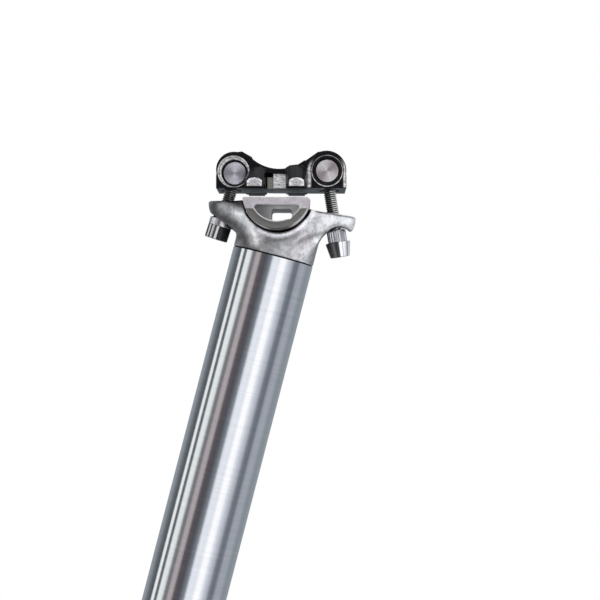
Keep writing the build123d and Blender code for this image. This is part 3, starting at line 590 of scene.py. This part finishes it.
def relax(mesh, weights, rounds):
    """Laplacian smoothing in which each point moves by its own share of half the way."""
    points = read_points(mesh)
    count = len(points)
    pairs = np.empty(len(mesh.edges) * 2, dtype=np.int64)
    mesh.edges.foreach_get("vertices", pairs)
    a, b = pairs.reshape(-1, 2).T
    degree = np.maximum(np.bincount(a, minlength=count) + np.bincount(b, minlength=count), 1)
    share = (0.5 * weights(points))[:, None]
    for _ in range(rounds):
        total = np.empty_like(points)
        for k in range(3):
            total[:, k] = np.bincount(a, points[b, k], count) + np.bincount(b, points[a, k], count)
        points = points + share * (total / degree[:, None] - points)
    write_points(mesh, points)


def ramp(values, low, high):
    """0 up to low, rising evenly to 1 at high."""
    return np.clip((values - low) / (high - low), 0.0, 1.0)


def bell(values, centre, width):
    """1 at centre, falling smoothly to 0 on both sides."""
    return np.exp(-((values - centre) / width) ** 2)


def axis_distance(points, centre, axis):
    """Distance of each point from a line."""
    offset = points - np.array(centre)
    along = offset @ np.array(axis)
    return np.linalg.norm(offset - np.outer(along, np.array(axis)), axis=1)


# ---------------------------------------------------------------- forged head
# ribs on the head's flanks, falling towards the neck: (rearward, height above the seam) in millimetres
REAR_RIB = [(24.5, 16.6), (16.8, 14.3), (12.7, 12.2), (8.6, 9.1), (6.0, 6.4)]
FRONT_RIB = [(-22.5, 13.6), (-15.6, 11.9), (-11.2, 9.4), (-8.6, 6.3), (-6.9, 3.4)]
HEAD_VOXEL = 0.4 * MM
HEAD_ROUNDS = 26


def beside_path(points, path, below):
    """Distance from a path seen from the side, positive below it, and the share of the path passed."""
    x, z = points[:, 0] / MM, (points[:, 2] - SEAM.z) / MM
    best = np.full(len(points), 1e9)
    signed, passed = np.zeros(len(points)), np.zeros(len(points))
    for i, ((ax, az), (bx, bz)) in enumerate(zip(path, path[1:])):
        dx, dz = bx - ax, bz - az
        length = math.hypot(dx, dz)
        t = np.clip(((x - ax) * dx + (z - az) * dz) / length ** 2, 0.0, 1.0)
        away = np.hypot(x - ax - t * dx, z - az - t * dz)
        side = np.sign(dx * (z - az) - dz * (x - ax)) * below
        near = away < best
        best[near] = away[near]
        signed[near] = (away * side)[near]
        passed[near] = ((i + t) / (len(path) - 1))[near]
    return signed, passed


def raise_ribs(mesh):
    """Forged ribs with a hollow under each, and a lip round the cradle's seat, on both flanks."""
    points, normals = read_points(mesh), read_points(mesh, "normal")
    lift = np.zeros(len(points))
    for path, below, height, hollow in ((REAR_RIB, 1, 0.30, 0.55), (FRONT_RIB, -1, 0.35, 0.55)):
        away, passed = beside_path(points, path, below)
        taper = np.sin(np.pi * np.clip(passed, 0.04, 0.98)) ** 0.6
        lift += taper * (height * bell(away, 0.0, 1.2) - hollow * bell(away, 3.0, 2.0))
    seat = axis_distance(points, RELIEF_AT, ACROSS)
    lift += 0.35 * bell((seat - RELIEF_R) / MM, 0.5, 0.5)
    lift *= ramp(seat, RELIEF_R, RELIEF_R + 0.25 * MM)
    lift *= ramp(points[:, 2], SEAM.z + 1.5 * MM, SEAM.z + 4.0 * MM)
    # nothing rises near the middle plane, or where the skin doesn't face sideways
    lift *= ramp(np.abs(points[:, 1]), 4.0 * MM, 7.0 * MM)
    lift *= ramp(np.abs(normals[:, 1]), 0.2, 1.0)
    points[:, 1] += np.sign(points[:, 1]) * lift * MM
    write_points(mesh, points)


def below_seat(inward):
    """0 beside the relief, rising to 1 under it, where its wall is drawn in."""
    return ramp(inward @ np.array(ABOVE_RAIL), DRAWN_FROM, DRAWN_FULL)


def drawn_in(points):
    """Distance from the relief's centre, direction towards it, and how far each point is drawn that way."""
    offset = points - np.array(RELIEF_AT)
    offset[:, 1] = 0
    distance = np.linalg.norm(offset, axis=1)
    inward = -offset / np.maximum(distance, 1e-9)[:, None]
    share = below_seat(inward) * ramp(np.abs(points[:, 1]), RELIEF_FROM, RELIEF_FROM + 0.7 * MM)
    share *= ramp(distance, RELIEF_R - 0.9 * MM, RELIEF_R - 0.3 * MM)
    share *= ramp(-distance, -RELIEF_R - 2.8 * MM, -RELIEF_R - 0.2 * MM)
    return distance, inward, DRAWN_IN * share


def draw_in_relief(mesh):
    """Narrows the gap under the cradle."""
    points = read_points(mesh)
    _, inward, shift = drawn_in(points)
    write_points(mesh, points + inward * shift[:, None])


def head_light_and_shade(points, normals):
    """Painted light and shade on the skin: painted highlights on the ribs and lip, painted shade in the hollows
    and on the front top.
    """
    offset = (points - np.array(HINGE)) / MM
    p, q = offset @ np.array(RAIL), offset @ np.array(ABOVE_RAIL)
    height = (points[:, 2] - SEAM.z) / MM
    # painted light: brighter towards the rear, most of all low down
    tone = 0.50 + 0.30 * ramp(p, 1.0, 10.0) + 0.12 * ramp(p, 5.0, 9.0) * ramp(-q, 12.0, 16.0)
    # front arm: painted shade above its rib and in the hollow under it, a painted highlight along it
    front, passed = beside_path(points, FRONT_RIB, -1)
    ahead = ramp(-p, 3.0, 8.0)
    tone *= 1 - 0.84 * ramp(-front, 0.9, 2.8) * ramp(-p, 10.0, 12.5)
    tone *= 1 - 0.78 * bell(front, 4.6, 2.6) * ahead
    highlight_streak = bell(front, 0.0, 1.7) * ahead * ramp(passed, -0.08, 0.16)
    tone = tone * (1 - highlight_streak) + 0.98 * highlight_streak
    # rear arm: painted shade under its rib, on the neck's back and on its sloping top
    rear, _ = beside_path(points, REAR_RIB, 1)
    tone *= 1 - 0.42 * bell(rear, 1.2, 0.9) * ramp(p, 3.0, 8.0)
    tone *= 1 - 0.70 * ramp(normals[:, 0], 0.74, 0.95) * ramp(18.0 - height, 0.0, 4.0)
    tone *= 1 - 0.88 * bell(normals @ np.array(ABOVE_RAIL), 0.55, 0.26) * ramp(p, 10.0, 14.0)
    # cradle's seat: a painted highlight on the lip, with a ring of painted shade beyond it
    distance, inward, _ = drawn_in(points)
    beyond = (distance + DRAWN_IN * below_seat(inward) - RELIEF_R) / MM
    tone *= 1 - 0.36 * bell(beyond, 2.8, 1.0) * ramp(p, -6.0, -1.0) * ramp(-p, -9.0, -4.0)
    lip_highlight = bell(beyond, 0.9, 1.1) * ramp(p, -11.0, -5.0)
    return tone * (1 - lip_highlight) + 1.30 * lip_highlight


def paint_head_light(mesh):
    """Stores the skin's painted light and shade on the mesh, where the head's material reads it."""
    tone = head_light_and_shade(read_points(mesh), read_points(mesh, "normal"))
    layer = mesh.attributes.new("painted_light", "FLOAT", "POINT")
    layer.data.foreach_set("value", tone)


def head_softness(points):
    """Share of the smoothing a point takes: none in the seat and at the seam, little in the bolt holes."""
    seat = axis_distance(points, HINGE, ACROSS)
    share = ramp(seat, 14.1 * MM, 16.0 * MM) * ramp(points[:, 2], SEAM.z + 0.8 * MM, SEAM.z + 3.5 * MM)
    for nut, axis in ((FRONT_NUT, FRONT_AXIS), (REAR_NUT, REAR_AXIS)):
        share *= np.maximum(ramp(axis_distance(points, nut, axis), 5.5 * MM, 6.6 * MM), 0.12)
    return share


def forged_head():
    """The head as one softened forging."""
    piece = remeshed("forged_head", "head", HEAD_VOXEL)
    relax(piece.data, head_softness, HEAD_ROUNDS)
    raise_ribs(piece.data)
    draw_in_relief(piece.data)
    paint_head_light(piece.data)
    assign_piece(piece, "slider", "head", forged())


# ---------------------------------------------------------------- clamp bolts and spring
BOLT_R, BOLT_PITCH, BOLT_THREAD, BOLT_TIP = 2.45 * MM, 0.8 * MM, 0.45 * MM, 0.6 * MM
SOCKET_FLATS, SOCKET_DEPTH = 4.0 * MM, 3.2 * MM
SOCKET_MOUTH = 0.62 * SOCKET_FLATS
HEAD_EDGE, EDGE_STEPS = 0.35 * MM, 4
THREAD_STEPS = 10
BOLT_SIDES = 72
# bolt heads in millimetres: start from the nut, radius at the start, radius at the end, length
FRONT_BOLT = (20.35, 4.5, 4.5, 5.2)
REAR_BOLT = (26.8, 4.8, 3.80, 5.78)
# painted reflections across the bolt heads, as (place from -1 to 1, brightness)
FRONT_BANDS = [(-1.0, 0.02), (-0.86, 0.03), (-0.81, 0.60), (-0.72, 0.60), (-0.68, 0.03), (-0.58, 0.03),
               (-0.52, 0.58), (-0.40, 0.50), (-0.35, 0.07), (-0.20, 0.10), (-0.14, 1.0), (-0.02, 1.0),
               (0.04, 0.03), (1.0, 0.02)]
REAR_BANDS = [(-1.0, 0.05), (-0.62, 0.10), (-0.45, 0.22), (-0.25, 0.07), (0.02, 0.10), (0.08, 0.95),
              (0.26, 1.0), (0.31, 0.45), (0.36, 0.50), (0.41, 1.0), (0.62, 0.95), (0.70, 0.30),
              (0.78, 0.35), (0.86, 0.90), (1.0, 0.60)]
WIRE_R, COIL_R = 1.7 * MM, 8.8 * MM
COIL_PITCH, CLOSED_PITCH = 9.0 * MM, 3.45 * MM
COIL_STEPS, WIRE_SIDES = 44, 14


def polished(name, centre, axis, head_at, bands):
    """Polished screw steel; bands gives a painted reflection, its brightness across the head, left to right from
    the camera.
    """
    g = Graph(name)
    at = g.shifted(g.place(), centre)
    facing = -ACROSS
    u, v = g.dot(at, facing), g.dot(at, facing.cross(axis))
    radius = g.radius(u, v)
    across = g.calc("DIVIDE", v, g.calc("MAXIMUM", radius, 0.1 * MM))
    steps = [((where + 1) / 2, (level, level, 1.03 * level)) for where, level in bands]
    # painted reflection: bright and dark bands across the head
    painted_reflection = g.colour_ramp(g.calc("ADD", 0.5, g.product(across, 0.5)), steps)
    # painted shade in the thread roots
    root_shade = g.span(radius, BOLT_R - 0.9 * BOLT_THREAD, BOLT_R - 0.25 * BOLT_THREAD, 0.10, 1.0)
    on_head = g.span(g.dot(at, axis), (head_at - 0.2) * MM, head_at * MM)
    # painted light: the thread's lit side is bright, the other side in painted shade
    lit = g.span(across, -0.1, 0.15, 0.30, 1.0)
    hair = g.noise(1.0, 3.0, 0.7, (900, 900, 9000))
    shade = g.product(g.choose(on_head, g.product(root_shade, lit), 1.0), g.span(hair, 0.3, 0.7, 0.88, 1.02))
    colour = g.mix(on_head, (1.0, 1.0, 1.0), painted_reflection)
    return g.finish(Base_Color=g.scaled(colour, shade), Metallic=0.6, Specular_IOR_Level=0.3,
                    Roughness=g.span(hair, 0.3, 0.7, 0.10, 0.18), Normal=g.bump(hair, 0.008 * MM, 0.4))


def rings_mesh(rings):
    """Joins rings of points into a closed skin, with a point at either end."""
    count = len(rings[1])
    vertices, faces = [rings[0][0]], []
    for ring in rings[1:-1]:
        vertices += ring
    vertices.append(rings[-1][0])
    last = len(vertices) - 1
    faces += [(0, 1 + (k + 1) % count, 1 + k) for k in range(count)]
    for i in range(len(rings) - 3):
        a, b = 1 + i * count, 1 + (i + 1) * count
        faces += [(a + k, a + (k + 1) % count, b + (k + 1) % count, b + k) for k in range(count)]
    a = last - count
    faces += [(a + k, a + (k + 1) % count, last) for k in range(count)]
    return vertices, faces


def hexagon(angle):
    """Distance of the socket's wall from its axis."""
    return 0.5 * SOCKET_FLATS / math.cos((angle + math.pi / 6) % (math.pi / 3) - math.pi / 6)


def thread(depth):
    """Radius round the screw at a depth: one helical groove, tapered at the tip."""
    lead_in = BOLT_R - 0.6 * MM + (depth + BOLT_TIP)

    def radius(angle):
        groove_shade = 0.5 - 0.5 * math.cos(2 * math.pi * depth / BOLT_PITCH - angle)
        return min(lead_in, BOLT_R - BOLT_THREAD * groove_shade)

    return radius


def bolt_steps(start, wide, narrow, length):
    """(depth, radius) from the bolt's tip to its socket's floor; a radius may depend on the angle."""
    steps = []
    for i in range(int((start + BOLT_TIP) / (BOLT_PITCH / THREAD_STEPS))):
        depth = -BOLT_TIP + i * BOLT_PITCH / THREAD_STEPS
        steps.append((depth, thread(depth)))
    steps.append((start, BOLT_R - BOLT_THREAD))
    end = start + length
    quarter = [0.5 * math.pi * k / EDGE_STEPS for k in range(EDGE_STEPS + 1)]
    for a in quarter:
        steps.append((start + HEAD_EDGE * (1 - math.cos(a)), wide - HEAD_EDGE * (1 - math.sin(a))))
    for a in quarter:
        steps.append((end - HEAD_EDGE * (1 - math.sin(a)), narrow - HEAD_EDGE * (1 - math.cos(a))))
    steps.append((end, SOCKET_MOUTH + 0.25 * MM))
    steps.append((end - 0.02 * MM, SOCKET_MOUTH + 0.15 * MM))
    for sunk in (0.35 * MM, 0.40 * MM, SOCKET_DEPTH):
        steps.append((end - sunk, hexagon))
    steps.append((end - SOCKET_DEPTH - 0.02 * MM, lambda angle: 0.92 * hexagon(angle)))
    return steps


def clamp_bolt(name, node, body, nut, axis, head, material):
    """A screw with a helical thread and a turned socket head; head gives its start, radii and length."""
    start, wide, narrow, length = (value * MM for value in head)
    side = axis.orthogonal().normalized()
    other = axis.cross(side)
    rings = [[nut - axis * BOLT_TIP]]
    for depth, radius in bolt_steps(start, wide, narrow, length):
        ring = []
        for k in range(BOLT_SIDES):
            angle = 2 * math.pi * k / BOLT_SIDES
            r = radius(angle) if callable(radius) else radius
            ring.append(nut + axis * depth + side * (r * math.cos(angle)) + other * (r * math.sin(angle)))
        rings.append(ring)
    rings.append([nut + axis * (start + length - SOCKET_DEPTH - 0.8 * MM)])
    vertices, faces = rings_mesh(rings)
    new_piece(name, vertices, faces, body, node, material)


def quads(first, count):
    """Faces between a ring of points and the next ring."""
    faces = []
    for k in range(count):
        a, b = first + k, first + (k + 1) % count
        faces.append((a, a + count, b + count, b))
    return faces


def coil_path(bottom, top):
    """(angle, height) along the wire's centre line, with closed coils at both ends."""
    path = []
    angle, z = 0.0, bottom - 0.2 * WIRE_R
    while z < top + 0.2 * WIRE_R:
        path.append((angle, z))
        from_end = min(z - bottom, top - z)
        opened = min(max((from_end - 0.8 * CLOSED_PITCH) / COIL_PITCH, 0.0), 1.0)
        angle += 2 * math.pi / COIL_STEPS
        z += (CLOSED_PITCH + (COIL_PITCH - CLOSED_PITCH) * opened) / COIL_STEPS
    return path


def spring_coil():
    """Wire coil with closed, ground ends."""
    low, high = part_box("main_spring")
    bottom, top = low.z + 0.02 * MM, high.z - 0.02 * MM
    path = coil_path(bottom, top)
    vertices = []
    for angle, z in path:
        out = Vector((math.cos(angle), math.sin(angle), 0))
        for k in range(WIRE_SIDES):
            a = 2 * math.pi * k / WIRE_SIDES
            point = out * (COIL_R + WIRE_R * math.cos(a))
            point.z = min(max(z + WIRE_R * math.sin(a), bottom), top)
            vertices.append(point)
    faces = []
    for i in range(len(path) - 1):
        faces += quads(i * WIRE_SIDES, WIRE_SIDES)
    faces.append(tuple(range(WIRE_SIDES)))
    faces.append(tuple(reversed(range(len(vertices) - WIRE_SIDES, len(vertices)))))
    wire = anodised("spring_wire", (0.05, 0.05, 0.052), 0.2, 0.34, 900.0, 0.2 * MM)
    piece = new_piece("spring_coil", vertices, faces, "post", "main_spring", wire)
    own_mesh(piece)


forged_head()
clamp_bolt("front_bolt_screw", "front_clamp_bolt", "front_bolt", FRONT_NUT, FRONT_AXIS, FRONT_BOLT,
           polished("bolt_front", FRONT_NUT, FRONT_AXIS, FRONT_BOLT[0], FRONT_BANDS))
clamp_bolt("rear_bolt_screw", "rear_clamp_bolt", "rear_bolt", REAR_NUT, REAR_AXIS, REAR_BOLT,
           polished("bolt_rear", REAR_NUT, REAR_AXIS, REAR_BOLT[0], REAR_BANDS))
spring_coil()


# ---------------------------------------------------------------- studio
# what shiny parts mirror, as (degrees round from straight behind the camera, colour)
PANELS = [
    (-180, (0.33, 0.37, 0.41)), (-140, (0.28, 0.31, 0.34)), (-122, (0.15, 0.17, 0.19)),
    (-108, (0.08, 0.09, 0.10)), (-103, (0.16, 0.17, 0.18)), (-100, (0.95, 0.98, 1.00)),
    (-92, (0.95, 0.98, 1.00)), (-89, (0.10, 0.115, 0.125)), (-81, (0.12, 0.135, 0.14)),
    (-78, (0.92, 0.95, 0.97)), (-64, (0.80, 0.83, 0.86)), (-59, (0.22, 0.23, 0.24)),
    (-51, (0.18, 0.175, 0.18)), (-46, (0.46, 0.42, 0.44)), (-36, (0.44, 0.40, 0.42)),
    (-31, (0.12, 0.10, 0.11)), (-18, (0.08, 0.08, 0.095)), (-9, (0.15, 0.16, 0.19)),
    (-1, (0.24, 0.265, 0.30)), (3, (0.86, 0.89, 0.96)), (20, (0.86, 0.89, 0.96)),
    (27, (1.15, 1.15, 1.18)), (37, (1.12, 1.13, 1.16)), (43, (0.84, 0.87, 0.95)),
    (52, (0.60, 0.63, 0.70)), (61, (0.42, 0.44, 0.50)), (67, (0.20, 0.22, 0.26)),
    (79, (0.15, 0.165, 0.20)), (90, (0.38, 0.40, 0.46)), (106, (0.38, 0.41, 0.46)),
    (124, (0.26, 0.29, 0.32)), (180, (0.33, 0.37, 0.41))]
# soft lamps, aimed at the seam: name, place, size and power
LAMPS = [
    ("key", (-0.5, -0.7, 0.9), (0.5, 0.5), 9.0),
    ("fill", (0.8, -0.5, 0.5), (0.6, 0.6), 4.0),
    ("rim", (0.2, 0.8, 0.8), (0.6, 0.4), 5.0)]
FLOOR_R, FLOOR_RINGS, FLOOR_SIDES = 1.3, 24, 96
# the camera's place from the middle of the seam, and its upward pitch
LENS = 132.0
CAMERA_REARWARD, CAMERA_BELOW, CAMERA_AWAY = 10.35 * MM, 32.32 * MM, 850 * MM
CAMERA_PITCH = math.radians(1.04)


def world_light():
    """White room to the camera; soft vertical light panels to anything shiny."""
    world = bpy.data.worlds.new("studio")
    bpy.context.scene.world = world
    world.use_nodes = True
    g = Graph("studio", world.node_tree)
    parts = g.node("SeparateXYZ", None, Vector=g.node("TexCoord").outputs["Generated"])
    x, y, z = parts.outputs
    angle = g.calc("ARCTAN2", x, g.product(y, -1.0))
    turn = g.calc("ADD", g.calc("DIVIDE", angle, 2 * math.pi), 0.5)
    around = g.colour_ramp(turn, [(0.5 + degrees / 360, colour) for degrees, colour in PANELS])
    shiny = g.mix(g.span(z, 0.55, 0.85), around, (1.1, 1.1, 1.1))
    shiny = g.mix(g.span(z, -0.15, -0.65, 0.0, 0.62), shiny, (0.20, 0.205, 0.215))
    paths = g.node("LightPath")
    seen = g.mix(paths.outputs["Is Glossy Ray"], (0.95, 0.95, 0.95), shiny)
    seen = g.mix(paths.outputs["Is Camera Ray"], seen, (1.0, 1.0, 1.0))
    back = g.node("Background", None, Color=seen)
    g.node("OutputWorld", None, Surface=back)


def area_light(name, where, size, energy):
    """A soft lamp that shiny parts don't mirror."""
    light = bpy.data.lights.new(name, "AREA")
    light.shape = "RECTANGLE"
    light.size, light.size_y = size
    light.energy = energy
    lamp = bpy.data.objects.new(name, light)
    lamp.location = where
    lamp.rotation_euler = (SEAM - Vector(where)).to_track_quat("-Z", "Y").to_euler()
    lamp.visible_glossy = False
    bpy.context.scene.collection.objects.link(lamp)


def floor_finish():
    """Matt and pale, clear far away and from below."""
    g = Graph("floor")
    distance = g.node("VectorMath", {"operation": "LENGTH"}, Vector=g.place())
    fade = g.span(distance.outputs["Value"], 0.45, 1.25)
    matt = g.node("BsdfPrincipled", None, Base_Color=(0.9, 0.9, 0.9), Roughness=0.8,
                  Normal=g.bump(g.noise(500, 3.0, 0.5), 0.2 * MM, 0.1))
    under = g.node("NewGeometry").outputs["Backfacing"]
    both = g.node("MixShader", None, Fac=g.calc("MAXIMUM", fade, under))
    g.feed(both.inputs[1], matt)
    g.feed(both.inputs[2], g.node("BsdfTransparent"))
    g.node("OutputMaterial", None, Surface=both)
    return g.material


def floor():
    """A pale floor that fades into the white of the room."""
    low = CAD_LOW.z
    vertices = [(0, 0, low)]
    for i in range(1, FLOOR_RINGS + 1):
        r = FLOOR_R * i / FLOOR_RINGS
        for k in range(FLOOR_SIDES):
            a = 2 * math.pi * k / FLOOR_SIDES
            vertices.append((r * math.cos(a), r * math.sin(a), low))
    faces = [(0, 1 + k, 1 + (k + 1) % FLOOR_SIDES) for k in range(FLOOR_SIDES)]
    for i in range(FLOOR_RINGS - 1):
        faces += quads(1 + i * FLOOR_SIDES, FLOOR_SIDES)
    mesh = bpy.data.meshes.new("floor")
    mesh.from_pydata(vertices, [], faces)
    mesh.materials.append(floor_finish())
    ground = bpy.data.objects.new("floor", mesh)
    bpy.context.scene.collection.objects.link(ground)
    ground.visible_glossy = False


def camera():
    """Looks square at the left side, level with the saddle rails and a little below them."""
    data = bpy.data.cameras.new("camera")
    data.lens = LENS
    data.clip_start, data.clip_end = 0.05, 30
    cam = bpy.data.objects.new("camera", data)
    bpy.context.scene.collection.objects.link(cam)
    where = SEAM + RAIL * CAMERA_REARWARD - ABOVE_RAIL * CAMERA_BELOW - ACROSS * CAMERA_AWAY
    look = ACROSS * math.cos(CAMERA_PITCH) + ABOVE_RAIL * math.sin(CAMERA_PITCH)
    top = RAIL.cross(look)
    cam.matrix_world = Matrix.Translation(where) @ Matrix((RAIL, top, -look)).transposed().to_4x4()
    bpy.context.scene.camera = cam


bpy.context.scene.view_settings.view_transform = "Standard"
world_light()
for lamp in LAMPS:
    area_light(*lamp)
floor()
camera()
